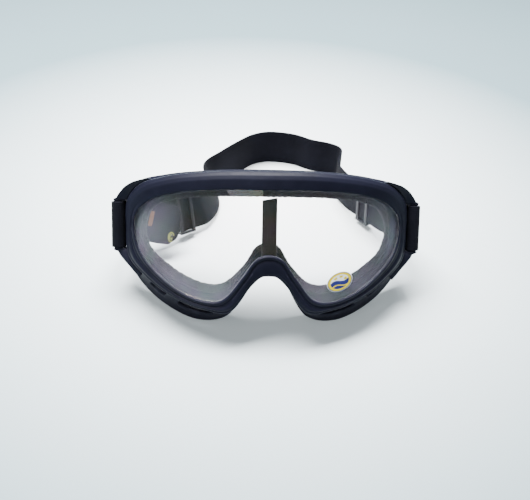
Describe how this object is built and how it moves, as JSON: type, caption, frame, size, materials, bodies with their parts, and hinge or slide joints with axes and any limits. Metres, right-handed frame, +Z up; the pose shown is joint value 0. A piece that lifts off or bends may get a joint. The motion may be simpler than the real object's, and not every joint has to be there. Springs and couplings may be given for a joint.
{
  "type": "motorcycle goggles",
  "caption": "Riding goggles with a curved clear lens in a soft moulded frame, a foam face seal and an adjustable elastic head strap on side loops.",
  "frame": {"origin": "centre of the overall box, at the height of the table the goggles rest on", "axes": "+Z up, +X to the wearer's left (the right side seen from in front), the lens faces -Y and leans back, the strap trails towards +Y"},
  "size_m": [0.188, 0.1968, 0.0908],
  "materials": {
    "clear_lens": "clear polycarbonate, glossy, hard coated",
    "moulded_frame": "soft satin thermoplastic rubber, navy black",
    "foam": "fine open foam, matte black",
    "webbing": "woven elastic, matte black",
    "adjuster": "moulded, satin black",
    "sticker": "printed film with a plain yellow ring",
    "label": "woven orange thread"
  },
  "bodies": {
    "frame": {"lens": "clear_lens", "front_rim": "moulded_frame", "lens_seat": "moulded_frame", "frame_skirt": "moulded_frame", "face_flange": "moulded_frame", "face_foam": "foam", "brow_vent_foam": "foam", "cheek_vent_foam_left": "foam", "cheek_vent_foam_right": "foam", "centre_rib": "moulded_frame", "lens_sticker": "sticker", "strap_anchor_left": "moulded_frame", "strap_anchor_right": "moulded_frame", "strap_loop_left": "webbing", "strap_loop_right": "webbing"},
    "strap": {"strap_band": "webbing", "strap_return_left": "webbing", "strap_return_right": "webbing", "strap_tail_left": "webbing", "strap_label": "label"},
    "slider_left": {"slider_left": "adjuster"},
    "slider_right": {"slider_right": "adjuster"}
  },
  "joints": [
    {"name": "strap_swing", "type": "hinge", "parent": "frame", "child": "strap", "pos_m": [0, -0.04411, 0.04297], "axis": [1, 0, 0], "range_deg": [0, 55]},
    {"name": "slider_left_slide", "type": "slide", "parent": "strap", "child": "slider_left", "axis": [0.7871, 0.6027, -0.1312], "range_m": [-0.006, 0.006]},
    {"name": "slider_right_slide", "type": "slide", "parent": "strap", "child": "slider_right", "axis": [-0.5009, 0.8577, -0.1158], "range_m": [-0.006, 0.006]}
  ]
}
